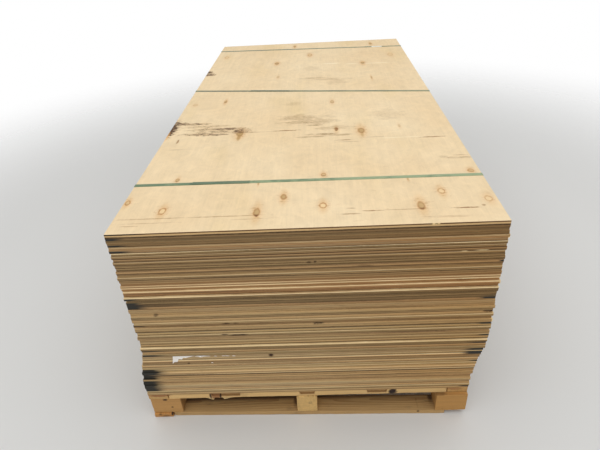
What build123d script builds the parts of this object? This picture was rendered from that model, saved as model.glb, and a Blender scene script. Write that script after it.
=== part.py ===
from build123d import *
import math
import os
import random

# Plywood sheets
SHEET_WIDTH = 1250.0
SHEET_LENGTH = 2500.0
SHEET_THICKNESS = 12.0
SHEET_COUNT = 63
SHEET_JITTER_SIDE = 2.5        # how unevenly the sheets lie, sideways
SHEET_JITTER_END = 1.4         # how unevenly the sheets lie, endways
PACK_SHIFT = 35.0              # the upper sheets lie this far to the right of the lowest
SHIFT_FIRST_SHEET = 3          # the shift starts above this many sheets
SHIFT_LAST_SHEET = 23          # and is complete here
# Sheets that stand proud at the near end, counted down from the top one, and by how much
PROUD_SHEETS = {4: 4.0, 5: 2.0, 12: 2.5, 14: 4.0, 17: 3.0, 19: 5.0, 21: 8.0, 26: 3.0,
                28: 4.0, 31: 3.0, 33: 6.0, 36: 3.0, 41: 5.0, 44: 3.0, 52: 3.5, 55: 4.0, 58: 4.0}

# Pallet
PALLET_SIDE_MARGIN = 0.0       # how far the pallet reaches past the lowest sheet, each side
PALLET_END_MARGIN = 0.0        # and at each end
BLOCK_LONG = 120.0
BLOCK_SHORT = 81.0
BLOCK_HEIGHT = 91.0
BOARD_WIDTH = 78.0
TOP_BOARD_THICKNESS = 25.0
BOTTOM_BOARD_THICKNESS = 20.0
BOARD_END_CLEARANCE = 3.0      # between a cross board's end and the side board
NEAR_ROW_ANGLE = 1.0           # degrees that the near row of blocks was nailed askew
NEAR_ROW_FORWARD = 4.0         # how far its middle block stands out at the near end
RIGHT_RUNNER_SETBACK = 35.0    # the right bottom side board stops short of the block's face

# Broken-out slivers on the near top board: middle, length, depth from the top, depth inwards
SLIVERS = [(-317.0, 116.0, 13.0, 9.0), (3.0, 62.0, 14.0, 8.0), (275.0, 80.0, 13.0, 7.0)]
SLIVER_END_SLOPE = 5.0

# Straps. Skew is how much farther from the near end a strap's left side lies than its right
STRAP_WIDTH = 19.0
STRAP_THICKNESS = 1.0
NEAR_STRAP_FROM_END = 319.0
NEAR_STRAP_SKEW = 14.0
MIDDLE_STRAP_CLEARANCE = 12.0  # between the strap and the middle row's right block
MIDDLE_STRAP_SKEW = 118.0      # where it passes under the pallet's side boards
MIDDLE_STRAP_TOP_SKEW = 172.0  # on top of the sheets, so its sides lean
MIDDLE_STRAP_TOP_NEARER = 8.0
FAR_STRAP_FROM_END = 185.0
FAR_STRAP_SKEW = 74.0
# Each strap's free end: where it starts, from the pack's left side, and its length
NEAR_STRAP_TAIL = (211.0, 212.0)
MIDDLE_STRAP_TAIL = (308.0, 215.0)
FAR_STRAP_TAIL = (1005.0, 130.0)
TAIL_ANGLE = 0.6               # degrees between a strap and its free end

# Paper scrap, its outline from its upper left corner
PAPER_FROM_LEFT = 135.0
PAPER_TOP = 350.0
PAPER_THICKNESS = 0.5
PAPER_OUTLINE = [(7, 0), (88, 0), (70, -5), (52, -10), (46, -8), (38, -17),
                 (26, -15), (20, -29), (6, -31), (0, -39)]

# Derived sizes and heights
pallet_width = SHEET_WIDTH + 2 * PALLET_SIDE_MARGIN
pallet_length = SHEET_LENGTH + 2 * PALLET_END_MARGIN
block_bottom = BOTTOM_BOARD_THICKNESS
block_top = block_bottom + BLOCK_HEIGHT
pallet_top = block_top + TOP_BOARD_THICKNESS
half_width = pallet_width / 2
side_board_inside = half_width - BOARD_WIDTH
cross_board_length = 2 * (side_board_inside - BOARD_END_CLEARANCE)
pack_top = pallet_top + SHEET_COUNT * SHEET_THICKNESS


def block_at(x, y, z, width, depth, height):
    """A square-edged block, centred on x, starting at y and z."""
    return Pos(x, y, z) * Box(width, depth, height, align=(Align.CENTER, Align.MIN, Align.MIN))


def pack_shift(number_up):
    """Sideways offset of a sheet, eased in over the sheets of the bend."""
    t = (number_up - SHIFT_FIRST_SHEET) / (SHIFT_LAST_SHEET - SHIFT_FIRST_SHEET)
    t = min(1.0, max(0.0, t))
    return PACK_SHIFT * t * t * (3 - 2 * t)


def sheet_places():
    """Middle in x and near end in y of each sheet, from the lowest to the top one."""
    uneven = random.Random(11)
    places = []
    for i in range(SHEET_COUNT):
        x = pack_shift(i) + uneven.uniform(-SHEET_JITTER_SIDE, SHEET_JITTER_SIDE)
        y = PALLET_END_MARGIN + uneven.uniform(0.0, SHEET_JITTER_END)
        y = y - PROUD_SHEETS.get(SHEET_COUNT - 1 - i, 0.0)
        places.append((x, y))
    return places


places = sheet_places()


def sheet_bottom(i):
    return pallet_top + i * SHEET_THICKNESS


def sheet(i):
    x, y = places[i]
    return block_at(x, y, sheet_bottom(i), SHEET_WIDTH, SHEET_LENGTH, SHEET_THICKNESS)


# Sheets: the top one by itself, the others in two sets that lie between each other
def every_second_sheet(first):
    return Compound(children=[sheet(i) for i in range(first, SHEET_COUNT - 1, 2)])


# Pallet rows, from the near end
row_middles = [BLOCK_SHORT / 2, pallet_length / 2, pallet_length - BLOCK_SHORT / 2]
row_names = ["near", "middle", "far"]
column_middles = [-half_width + BLOCK_LONG / 2, 0.0, half_width - BLOCK_LONG / 2]
column_names = ["left", "centre", "right"]


def block_start(row, column):
    """Near face of a block. End rows are flush with the pallet's end, the near one askew."""
    depth = BLOCK_LONG if column == 1 else BLOCK_SHORT
    if row == 0:
        return -NEAR_ROW_FORWARD - math.tan(math.radians(NEAR_ROW_ANGLE)) * column_middles[column]
    if row == 1:
        return row_middles[1] - depth / 2
    return pallet_length - depth


def pallet_block(row, column):
    width = BLOCK_SHORT if column == 1 else BLOCK_LONG
    depth = BLOCK_LONG if column == 1 else BLOCK_SHORT
    start = block_start(row, column)
    return block_at(column_middles[column], start, block_bottom, width, depth, BLOCK_HEIGHT)


def side_board(side, z, thickness, start):
    x = side * (half_width - BOARD_WIDTH / 2)
    return block_at(x, start, z, BOARD_WIDTH, pallet_length - start, thickness)


def cross_board(row, z, thickness):
    start = row_middles[row] - BOARD_WIDTH / 2
    if row == 0:
        start = 0.0
    if row == 2:
        start = pallet_length - BOARD_WIDTH
    return block_at(0.0, start, z, cross_board_length, BOARD_WIDTH, thickness)


def sliver(middle, length, down, inwards):
    """A long splinter broken out along the grain, with sloping ends."""
    profile = Polyline((-length / 2, 0), (-length / 2 + SLIVER_END_SLOPE, -down),
                       (length / 2 - SLIVER_END_SLOPE, -down), (length / 2, 0), close=True)
    cut = extrude(Plane.XZ * make_face(profile), inwards)
    return Pos(middle, inwards, pallet_top) * cut


def near_top_board():
    board = cross_board(0, block_top, TOP_BOARD_THICKNESS)
    for middle, length, down, inwards in SLIVERS:
        board -= sliver(middle, length, down, inwards)
    return board


def near_bottom_board():
    """Follows the near row of blocks, which was nailed askew."""
    board = cross_board(0, 0.0, BOTTOM_BOARD_THICKNESS)
    return Pos(0, -NEAR_ROW_FORWARD, 0) * Rot(0, 0, -NEAR_ROW_ANGLE) * board


# Straps: a taut band goes straight from corner to corner of what it holds
def taut_outline(points):
    """Corners of the smallest convex outline round the points, counter-clockwise."""
    points = sorted(set(points))

    def chain(ordered):
        kept = []
        for p in ordered:
            while len(kept) > 1 and turn(kept[-2], kept[-1], p) <= 1e-9:
                kept.pop()
            kept.append(p)
        return kept[:-1]
    return chain(points) + chain(reversed(points))


def turn(a, b, c):
    return (b[0] - a[0]) * (c[1] - a[1]) - (b[1] - a[1]) * (c[0] - a[0])


def held_corners():
    """Corners, in x and z, of all that a strap goes round."""
    corners = [(-half_width, block_top), (half_width, block_top)]
    for i, (x, _) in enumerate(places):
        for side in (-SHEET_WIDTH / 2, SHEET_WIDTH / 2):
            corners.append((x + side, sheet_bottom(i)))
            corners.append((x + side, sheet_bottom(i) + SHEET_THICKNESS))
    return corners


def strip_at(z, distance, skew):
    """Plan view of a strap's width at one height: a strip that slants across the pack."""
    reach = SHEET_WIDTH
    half = STRAP_WIDTH / 2
    strip = Polyline((-reach, distance + skew - half), (reach, distance - skew - half),
                     (reach, distance - skew + half), (-reach, distance + skew + half), close=True)
    return Pos(0, 0, z) * make_face(strip)


def strap_path(on_top, underneath):
    """The room a strap runs in, straight from its line under the deck to its line on top."""
    rise = pack_top - block_top
    faces = []
    for share in (-0.2, 1.2):
        distance, skew = (low + (high - low) * share for low, high in zip(underneath, on_top))
        faces.append(strip_at(block_top + rise * share, distance, skew))
    return loft(faces)


def strap_tail(distance, skew, from_left, length):
    """The free end, lying on the band over its joint and a little askew to it."""
    x, _ = places[-1]
    slope = -math.degrees(math.atan(skew / SHEET_WIDTH))
    middle = x - SHEET_WIDTH / 2 + from_left + length / 2
    tail = Box(length, STRAP_WIDTH, STRAP_THICKNESS, align=(Align.CENTER, Align.CENTER, Align.MIN))
    y = distance - skew * middle / SHEET_WIDTH
    return Pos(middle, y, pack_top + STRAP_THICKNESS) * Rot(0, 0, slope - TAIL_ANGLE) * tail


def strap(on_top, underneath, tail):
    """A band round the pack, each of its lines given as its distance and skew, and its free end."""
    inner = make_face(Polyline(*taut_outline(held_corners()), close=True))
    outer = offset(inner, STRAP_THICKNESS, kind=Kind.INTERSECTION)
    ring = extrude(Plane.XZ * (outer - inner), pallet_length + SHEET_LENGTH, both=True)
    band = ring & strap_path(on_top, underneath)
    return band + strap_tail(*on_top, *tail)


def all_straps():
    middle_block_end = row_middles[1] + BLOCK_SHORT / 2
    right_end = middle_block_end + MIDDLE_STRAP_CLEARANCE + STRAP_WIDTH / 2
    middle_place = right_end + MIDDLE_STRAP_SKEW / 2
    under_middle = (middle_place, MIDDLE_STRAP_SKEW)
    over_middle = (middle_place - MIDDLE_STRAP_TOP_NEARER, MIDDLE_STRAP_TOP_SKEW)
    near = (NEAR_STRAP_FROM_END, NEAR_STRAP_SKEW)
    far = (pallet_length - FAR_STRAP_FROM_END, FAR_STRAP_SKEW)
    return {"near_strap": strap(near, near, NEAR_STRAP_TAIL),
            "middle_strap": strap(over_middle, under_middle, MIDDLE_STRAP_TAIL),
            "far_strap": strap(far, far, FAR_STRAP_TAIL)}


def paper_scrap():
    """A torn remnant, flat against the most proud of the edges that it covers."""
    lowest = PAPER_TOP + min(z for _, z in PAPER_OUTLINE)
    behind = []
    for i, (_, y) in enumerate(places):
        if sheet_bottom(i) < PAPER_TOP and sheet_bottom(i) + SHEET_THICKNESS > lowest:
            behind.append(y)
    left = PAPER_FROM_LEFT - SHEET_WIDTH / 2
    outline = [(left + x, PAPER_TOP + z) for x, z in PAPER_OUTLINE]
    scrap = extrude(Plane.XZ * make_face(Polyline(*outline, close=True)), PAPER_THICKNESS)
    return Pos(0, min(behind), 0) * scrap


def all_pieces():
    pieces = {"top_sheet": sheet(SHEET_COUNT - 1),
              "sheets_odd": every_second_sheet(SHEET_COUNT % 2),
              "sheets_even": every_second_sheet(1 - SHEET_COUNT % 2),
              "paper_scrap": paper_scrap()}
    for row, row_name in enumerate(row_names):
        for column, column_name in enumerate(column_names):
            pieces[f"pallet_block_{row_name}_{column_name}"] = pallet_block(row, column)
    for side, name in ((-1, "left"), (1, "right")):
        setback = RIGHT_RUNNER_SETBACK if side > 0 else 0.0
        pieces[f"pallet_top_side_board_{name}"] = side_board(side, block_top, TOP_BOARD_THICKNESS, 0.0)
        pieces[f"pallet_bottom_side_board_{name}"] = side_board(side, 0.0, BOTTOM_BOARD_THICKNESS, setback)
    pieces["pallet_top_board_near"] = near_top_board()
    pieces["pallet_bottom_board_near"] = near_bottom_board()
    for row in (1, 2):
        pieces[f"pallet_top_board_{row_names[row]}"] = cross_board(row, block_top, TOP_BOARD_THICKNESS)
        pieces[f"pallet_bottom_board_{row_names[row]}"] = cross_board(row, 0.0, BOTTOM_BOARD_THICKNESS)
    pieces.update(all_straps())
    return pieces


# The origin lies under the pallet's middle, on the floor
to_middle = Pos(0, -pallet_length / 2, 0)
os.makedirs("parts", exist_ok=True)
for name, shape in all_pieces().items():
    export_step(to_middle * shape, f"parts/{name}.step")
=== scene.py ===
import math

import bpy
import numpy as np
from mathutils import Matrix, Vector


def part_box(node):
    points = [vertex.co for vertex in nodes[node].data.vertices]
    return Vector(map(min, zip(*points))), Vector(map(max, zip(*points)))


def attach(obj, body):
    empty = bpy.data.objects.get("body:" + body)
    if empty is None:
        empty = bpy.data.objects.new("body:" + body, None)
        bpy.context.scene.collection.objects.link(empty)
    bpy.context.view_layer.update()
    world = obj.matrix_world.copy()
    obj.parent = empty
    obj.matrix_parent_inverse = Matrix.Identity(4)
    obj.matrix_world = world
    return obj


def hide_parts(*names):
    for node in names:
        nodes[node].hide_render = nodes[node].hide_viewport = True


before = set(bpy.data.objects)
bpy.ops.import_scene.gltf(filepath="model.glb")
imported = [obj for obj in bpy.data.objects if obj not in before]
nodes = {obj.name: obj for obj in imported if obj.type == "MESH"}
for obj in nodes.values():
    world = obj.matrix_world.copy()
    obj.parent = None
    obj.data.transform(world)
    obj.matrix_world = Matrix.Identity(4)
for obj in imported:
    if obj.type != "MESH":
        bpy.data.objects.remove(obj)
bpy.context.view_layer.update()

# Pallet timber: rough-sawn softwood in three bottom boards and two runners, nine blocks
# and a frame of top boards. Handling has worn the sharp corners round, and the saw has
# left waves and fibres on the faces.


def lattice_noise(points, scale, seed):
    """Smooth noise from -1 to 1. Seeded random values stand at the whole-number corners of
    space, and a point takes the eased blend of the eight corners round it."""
    place = np.asarray(points, float) * scale
    cell = np.floor(place).astype(np.int64)
    part = place - cell
    part = part * part * (3 - 2 * part)
    total = np.zeros(place.shape[:-1])
    primes = np.array([73856093, 19349663, 83492791])
    for corner in np.ndindex(2, 2, 2):
        spot = (cell + np.array(corner)) * primes
        mixed = np.bitwise_xor.reduce(spot, axis=-1) ^ (seed * 26544357)
        mixed = ((mixed ^ (mixed >> 13)) * 1274126177) & 0x7FFFFFFF
        mixed = mixed ^ (mixed >> 11)
        value = (mixed % 65536) / 32768.0 - 1.0
        total += value * np.prod(np.where(np.array(corner) == 1, part, 1 - part), axis=-1)
    return total


def ease(value, start, end):
    """0 before start, 1 after end, and an S-curve between them, either way round."""
    t = np.clip((value - start) / (end - start), 0.0, 1.0)
    return t * t * (3 - 2 * t)


def closed_tube(rows):
    """Vertices and faces of a closed skin: rows of the same loop of points, each joined to the
    next, with a fan of triangles to the middle of the first row and of the last."""
    count, around = rows.shape[:2]
    points = np.vstack([rows.reshape(-1, 3), rows[0].mean(0), rows[-1].mean(0)])
    index = np.arange(count * around).reshape(count, around)
    beside = np.roll(index, -1, axis=1)
    quads = np.stack([index[:-1], beside[:-1], beside[1:], index[1:]], -1).reshape(-1, 4)
    first = np.stack([np.full(around, count * around), beside[0], index[0]], -1)
    last = np.stack([np.full(around, count * around + 1), index[-1], beside[-1]], -1)
    return points, quads, np.vstack([first, last])


SHARP_FROM = math.radians(40)


def mesh_piece(name, points, quads, triangles):
    """An object from arrays. The faces are turned over if the skin's volume, summed as
    pyramids to its middle, comes out negative."""
    middle = points.mean(0)
    a, b, c = (points[triangles[:, k]] - middle for k in range(3))
    volume = np.einsum("ij,ij->", a, np.cross(b, c))
    for pick in ((0, 1, 2), (0, 2, 3)):
        a, b, c = (points[quads[:, k]] - middle for k in pick)
        volume += np.einsum("ij,ij->", a, np.cross(b, c))
    if volume < 0:
        quads, triangles = quads[:, ::-1], triangles[:, ::-1]
    mesh = bpy.data.meshes.new(name)
    mesh.from_pydata(points.tolist(), [], quads.tolist() + triangles.tolist())
    mesh.polygons.foreach_set("use_smooth", np.ones(len(mesh.polygons), bool))
    mesh.set_sharp_from_angle(angle=SHARP_FROM)
    mesh.update()
    piece = bpy.data.objects.new(name, mesh)
    bpy.context.scene.collection.objects.link(piece)
    return piece


def keep(piece, name, kind, values, on="POINT"):
    """Stores one value for each point, or for each corner of a face, for the material to read."""
    layer = piece.data.attributes.new(name, kind, on)
    field = "value" if kind == "FLOAT" else "vector"
    layer.data.foreach_set(field, np.ascontiguousarray(values, dtype=np.float32).ravel())


def linear(red, green, blue):
    """A colour as it is seen, 0 to 255, as the amounts of light that the shader takes."""
    seen = np.array([red, green, blue]) / 255.0
    low = seen / 12.92
    high = ((seen + 0.055) / 1.055) ** 2.4
    return tuple(np.where(seen <= 0.04045, low, high)) + (1.0,)


def sawn_rows(low, high, along, seed, arris, step, rough=1.0):
    """A board as rows of loops: a rectangle whose corners are rounded by pulling each point to
    the nearest point of a smaller rectangle and back out by the arris radius, carried along
    the grain. At both ends the loop draws in over a quarter round, then closes on the end
    grain. The faces take waves of two noises. Step is the spacing along and round."""
    low, high = np.array(low), np.array(high)
    across = 1 - along
    half = (high - low) / 2
    middle = (high + low) / 2
    a, b, length = half[across], half[2], high[along] - low[along]
    wide = np.linspace(-1, 1, max(4, int(round(2 * a / step[1]))) + 1)[:-1]
    tall = np.linspace(-1, 1, max(4, int(round(2 * b / step[1]))) + 1)[:-1]
    loop = np.concatenate([np.stack([wide, -np.ones_like(wide)], -1),
                           np.stack([np.ones_like(tall), tall], -1),
                           np.stack([-wide, np.ones_like(wide)], -1),
                           np.stack([-np.ones_like(tall), -tall], -1)])
    loop = loop * (a, b)
    quarter = np.radians([0, 30, 60, 90])
    ends = arris * (1 - np.sin(quarter))
    body = np.linspace(0, length, max(6, int(length / step[0])))[1:-1]
    body = body[(body > arris) & (body < length - arris)]
    run = np.concatenate([[0, 0], arris * (1 - np.cos(quarter)), body,
                          length - arris * (1 - np.cos(quarter[::-1])), [length, length]])
    inset = np.concatenate([[arris, arris], ends, 0 * body, ends[::-1], [arris, arris]])
    scale = np.ones_like(run)
    inner_cap, outer_cap = 0.35, 0.7
    scale[[0, -1]], scale[[1, -2]] = inner_cap, outer_cap
    down_grain = np.stack([run * 14, 0 * run, 0 * run], -1)
    radius = np.stack([lattice_noise(down_grain, 1.0, seed + k) for k in range(4)], -1)
    radius = np.minimum(arris * (1 + 0.5 * radius), 0.9 * min(a, b))[:, None, :]
    flat = loop[None] * (1 - inset[:, None, None] / np.array([a, b]))
    corner = (flat[..., 0] > 0) + 2 * (flat[..., 1] > 0)
    r = np.take_along_axis(np.broadcast_to(radius, flat.shape[:2] + (4,)), corner[..., None], -1)
    inner = np.maximum(np.array([a, b]) - inset[:, None, None] - r, 0.0)
    held = np.clip(flat, -inner, inner)
    out = flat - held
    size = np.maximum(np.linalg.norm(out, axis=-1, keepdims=True), 1e-9)
    loops = (held + out / size * np.minimum(r, size * 4)) * scale[:, None, None]
    rows = np.zeros(loops.shape[:2] + (3,))
    rows[..., along] = (middle[along] - length / 2 + run)[:, None]
    rows[..., across] = middle[across] + loops[..., 0]
    rows[..., 2] = middle[2] + loops[..., 1]
    saw, fibre = 0.0004, 0.00025
    wave = saw * lattice_noise(rows, 45.0, seed + 9) + fibre * lattice_noise(rows, 160.0, seed)
    wave = (wave - saw - fibre) * rough
    outward = out / size
    rows[..., across] += outward[..., 0] * wave
    rows[..., 2] += outward[..., 1] * wave
    end = np.zeros(len(run))
    end[:4], end[-4:] = 1.0, 1.0
    worn = np.clip((r[..., 0] - 1.3 * arris) / (2 * arris), 0, 1) * (np.abs(out).min(-1) > 1e-6)
    return rows, end, worn


def sawn_piece(name, seed, along, tint, pith, arris=0.0016, step=(0.014, 0.0065), turned=0.0,
               shaping=None):
    """One board or block in place of its solid, turned where it was nailed askew. Its points
    carry where they lie in the log (along, across and up from the pith), how much they are end
    grain, how much is worn off them, and their tint."""
    low, high = (np.array(corner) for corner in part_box(name))
    pivot = (low + high) / 2
    if turned:
        half = (high - low) / 2
        c, s = math.cos(abs(turned)), math.sin(abs(turned))
        half[:2] = np.linalg.solve([[c, s], [s, c]], half[:2])
        low, high = pivot - half, pivot + half
    rows, end, worn = sawn_rows(low, high, along, seed, arris, step)
    if shaping:
        rows, worn = shaping(rows, worn, low, high)
    log = rows - np.where(np.arange(3) == 2, low, pivot)
    if along == 1:
        log = log[..., [1, 0, 2]]
    log = log - np.array([-seed * 3.7, pith[0], pith[1]])
    if turned:
        c, s = math.cos(turned), math.sin(turned)
        flat = rows[..., :2] - pivot[:2]
        rows[..., 0] = pivot[0] + c * flat[..., 0] - s * flat[..., 1]
        rows[..., 1] = pivot[1] + s * flat[..., 0] + c * flat[..., 1]
    points, quads, triangles = closed_tube(rows)
    piece = mesh_piece(name + "_sawn", points, quads, triangles)

    def spread(values, size):
        values = np.broadcast_to(values, rows.shape[:2] + ((size,) if size > 1 else ()))
        ends = [values[k].reshape(-1, size).mean(0) for k in (0, -1)]
        return np.vstack([values.reshape(-1, size)] + ends)

    keep(piece, "log", "FLOAT_VECTOR", spread(log, 3))
    keep(piece, "end_grain", "FLOAT", spread(end[:, None], 1))
    keep(piece, "wane", "FLOAT", spread(worn, 1))
    keep(piece, "tint", "FLOAT_VECTOR", spread(np.array(linear(*tint)[:3]), 3))
    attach(piece, "root")
    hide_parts(name)
    return piece


def plug(tree, made, sockets):
    """Gives each named socket of a node a number, a colour or another node's output."""
    for key, value in sockets.items():
        if isinstance(value, bpy.types.NodeSocket):
            tree.links.new(value, made.inputs[key])
        else:
            made.inputs[key].default_value = value
    return made


def put(tree, kind, sockets=None, **settings):
    """Adds one shader node, with its settings and what goes into its sockets."""
    made = tree.nodes.new("ShaderNode" + kind)
    for key, value in settings.items():
        setattr(made, key, value)
    return plug(tree, made, sockets or {})


def calc(tree, operation, *values, clamp=False):
    """The result of a Math node on numbers or outputs."""
    made = put(tree, "Math", dict(enumerate(values)), operation=operation, use_clamp=clamp)
    return made.outputs[0]


def times(tree, first, *others):
    """The product of numbers or outputs."""
    for value in others:
        first = calc(tree, "MULTIPLY", first, value)
    return first


def weighed(tree, start, *parts):
    """A start value plus a share of each part; the parts are (value, share)."""
    for value, share in parts:
        start = calc(tree, "MULTIPLY_ADD", value, share, start)
    return start


def vector_calc(tree, operation, *values, result=0):
    """The result of a Vector Math node on vectors or outputs."""
    return put(tree, "VectorMath", dict(enumerate(values)), operation=operation).outputs[result]


def blend(tree, amount, a, b, how="MIX"):
    """Two colours mixed by an amount."""
    sockets = {0: amount, 6: a, 7: b}
    return put(tree, "Mix", sockets, data_type="RGBA", blend_type=how).outputs[2]


def coats(tree, colour, *laid):
    """A colour with others laid over it in turn, each as (mask, share of the mask, what is seen)."""
    for mask, share, seen in laid:
        colour = blend(tree, times(tree, mask, share), colour, linear(*seen))
    return colour


def toned(tree, colour, shade):
    """A colour times one number."""
    grey = put(tree, "CombineXYZ", {0: shade, 1: shade, 2: shade}).outputs[0]
    return vector_calc(tree, "MULTIPLY", colour, grey)


def step_between(tree, value, start, end, low=0.0, high=1.0):
    """An S-curve from low to high as value goes from start to end."""
    sockets = {0: value, 1: start, 2: end, 3: low, 4: high}
    return put(tree, "MapRange", sockets, interpolation_type="SMOOTHSTEP").outputs[0]


def stretched(tree, place, scale, shift=(0, 0, 0)):
    """A place measured on a grid that is finer one way than another."""
    return put(tree, "Mapping", {"Vector": place, "Scale": scale, "Location": shift}).outputs[0]


def noise(tree, place, scale, detail=2.0, rough=0.5, twist=0.0):
    """Noise from 0 to 1 at a place, with a scale for each direction."""
    sockets = {"Vector": stretched(tree, place, scale), "Scale": 1.0, "Detail": detail,
               "Roughness": rough, "Distortion": twist}
    return put(tree, "TexNoise", sockets).outputs[0]


def uneven(tree, reach, place, scale, detail=3.0, rough=0.7):
    """Noise that goes half the reach below zero and half above it."""
    return times(tree, calc(tree, "SUBTRACT", noise(tree, place, scale, detail, rough), 0.5), reach)


def new_material(name):
    """An empty material with its shader, ready for nodes."""
    made = bpy.data.materials.new(name)
    made.use_nodes = True
    tree = made.node_tree
    tree.nodes.clear()
    shader = put(tree, "BsdfPrincipled")
    put(tree, "OutputMaterial", {0: shader.outputs[0]})
    return made, tree, shader


def surface(tree, shader, colour, rough, height, depth=0.001):
    """Feeds the shader: colour, roughness, and a bump of the given depth in metres."""
    bump = put(tree, "Bump", {"Height": height, "Distance": depth, "Strength": 1.0}).outputs[0]
    plug(tree, shader, {"Base Color": colour, "Roughness": rough, "Normal": bump})


def group(name, inputs, outputs):
    """An empty node group with the named sockets, and its two ends."""
    made = bpy.data.node_groups.new(name, "ShaderNodeTree")
    kinds = {"value": "NodeSocketFloat", "vector": "NodeSocketVector", "colour": "NodeSocketColor"}
    for way, sockets in (("INPUT", inputs), ("OUTPUT", outputs)):
        for label, kind in sockets:
            made.interface.new_socket(label, in_out=way, socket_type=kinds[kind])
    return made, made.nodes.new("NodeGroupInput"), made.nodes.new("NodeGroupOutput")


def use(tree, grouped, **sockets):
    """Places a group in a material, with its own values. Spaces in socket names are written _."""
    made = put(tree, "Group", node_tree=grouped)
    return plug(tree, made, {key.replace("_", " "): value for key, value in sockets.items()})


smear, inside, result = group("smear", [("Place", "vector"), ("Middle", "vector"), ("Spread", "vector"),
                                        ("Ragged", "value"), ("Strength", "value"), ("So far", "value")],
                              [("Amount", "value")])
given = inside.outputs
away = vector_calc(smear, "SUBTRACT", given["Place"], given["Middle"])
away = vector_calc(smear, "LENGTH", vector_calc(smear, "MULTIPLY", away, given["Spread"]), result=1)
away = calc(smear, "ADD", away, given["Ragged"])
mark = times(smear, step_between(smear, away, 1.25, 0.45), given["Strength"])
smear.links.new(calc(smear, "MAXIMUM", mark, given["So far"]), result.inputs[0])


def smears(tree, place, ragged, marks, plane):
    """Soft marks laid one after another: stains, painted shade and painted highlights. Each mark is
    (across, up, half width, half height, strength), in millimetres on the plane of the two named axes."""
    total = 0.0
    for across, up, half_across, half_up, strength in marks:
        middle, spread = [0.0, 0.0, 0.0], [0.0, 0.0, 0.0]
        middle[plane[0]], middle[plane[1]] = across / 1000, up / 1000
        spread[plane[0]], spread[plane[1]] = 1000 / half_across, 1000 / half_up
        total = use(tree, smear, Place=place, Middle=middle, Spread=spread, Ragged=ragged,
                    Strength=strength, So_far=total).outputs[0]
    return total


timber, tree, shader = new_material("sawn softwood")
log, tint = (put(tree, "Attribute", attribute_name=name).outputs["Vector"] for name in ("log", "tint"))
end_grain, wane = (put(tree, "Attribute", attribute_name=name).outputs["Fac"]
                   for name in ("end_grain", "wane"))
# Growth rings are even steps of distance from the pith, pushed about by slow noise
RINGS_PER_METRE = 235.0
_, across, up = put(tree, "SeparateXYZ", {0: log}).outputs
from_pith = calc(tree, "SQRT", calc(tree, "ADD", times(tree, across, across), times(tree, up, up)))
from_pith = weighed(tree, from_pith, (noise(tree, log, (2.2, 16, 16)), 0.016))
late = step_between(tree, calc(tree, "FRACT", times(tree, from_pith, RINGS_PER_METRE)), 0.35, 0.97)
fibre = noise(tree, log, (9, 700, 700), 3.0, 0.6)
streak = noise(tree, log, (3.5, 90, 90), 2.0, 0.55)
blotch = noise(tree, log, (7, 14, 14), 3.0, 0.6)
shade = weighed(tree, 0.62, (fibre, 0.34), (streak, 0.38), (late, -0.16), (blotch, 0.18), (end_grain, -0.16))
# Grey handling dirt in the hollows of a coarse noise, and brown where a corner is worn
dirt = step_between(tree, noise(tree, log, (11, 30, 30), 5.0, 0.7), 0.56, 0.74)
# Painted shade on the near bottom board between the runners, darker further in under the top boards
BEHIND_BOARD, OVER_BOARD, NEAR_ZONE = -1.13, 0.030, -1.2
place = put(tree, "TexCoord").outputs["Object"]
at_x, at_y, at_z = put(tree, "SeparateXYZ", {0: place}).outputs
pocket_shade = calc(tree, "ADD", step_between(tree, at_y, -1.215, -1.15, 0.0, 0.42),
             step_between(tree, at_y, -1.200, -1.182, 0.0, 0.62))
# A painted shadow along the left side of the near centre block and of the near right block
corners = [(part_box(f"pallet_block_near_{side}")[0][0] * 1000 - 7, -1168, 15, 64, 0.85)
           for side in ("centre", "right")]
pocket_shade = calc(tree, "MAXIMUM", pocket_shade, smears(tree, place, 0.0, corners, (0, 1)))
left_runner, right_runner = (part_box(f"pallet_bottom_side_board_{side}") for side in ("left", "right"))
pocket_shade = times(tree, pocket_shade, calc(tree, "LESS_THAN", at_z, OVER_BOARD),
              calc(tree, "LESS_THAN", at_y, BEHIND_BOARD),
              calc(tree, "GREATER_THAN", at_x, left_runner[1][0]),
              calc(tree, "LESS_THAN", at_x, right_runner[0][0]))
# Marks on the near end alone: bark and resin browns, then knots and small holes, and last
# three long lines of painted shadow along the lower edge of the near top board
BROWN_MARKS = (
    (-358, 124, 24, 24, 1.0), (-580, 133, 46, 9, 1.1), (-300, 134, 50, 9, 0.9), (573, 131, 34, 8, 0.8),
    (270, 130, 40, 5, 0.4), (-585, 10, 38, 12, 0.5))
DARK_MARKS_AND_SHADOW = (
    (336, 124, 17, 16, 1.25), (-378, 122, 4, 20, 0.9), (-339, 122, 4, 20, 0.9), (-566, 98, 10, 5, 1.1),
    (-551, 17, 5, 8, 0.95), (440, 14, 6, 5, 0.8), (-545, 53, 5, 4, 0.9), (-600, 16, 9, 5, 0.6),
    (-578, 6, 14, 4, 0.6), (-300, 109, 180, 3, 0.35), (180, 109, 260, 3, 0.3), (515, 110, 30, 3, 0.5))
near_end = calc(tree, "LESS_THAN", at_y, NEAR_ZONE)
ragged = uneven(tree, 1.0, place, (90, 90, 140), rough=0.6)
browned = times(tree, smears(tree, place, ragged, BROWN_MARKS, (0, 2)), near_end)
# The dark marks carry the painted shadow line under the near top board as well
blackened = times(tree, smears(tree, place, ragged, DARK_MARKS_AND_SHADOW, (0, 2)), near_end)
# The painted pocket shade is laid on in dark brown over the timber's own colour
wood = coats(tree, toned(tree, tint, shade), (late, 0.35, (150, 104, 58)), (dirt, 0.45, (112, 92, 68)),
             (wane, 1.0, (132, 92, 50)), (pocket_shade, 1.0, (62, 38, 24)), (browned, 1.0, (150, 106, 66)),
             (blackened, 1.0, (36, 21, 16)))
height = weighed(tree, 0.0, (fibre, 0.45), (noise(tree, log, (330, 3, 3), 1.0), 0.35), (late, -0.15))
surface(tree, shader, wood, weighed(tree, 0.66, (fibre, 0.2)), height, depth=0.0007)
shader.inputs["Specular IOR Level"].default_value = 0.3

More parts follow.
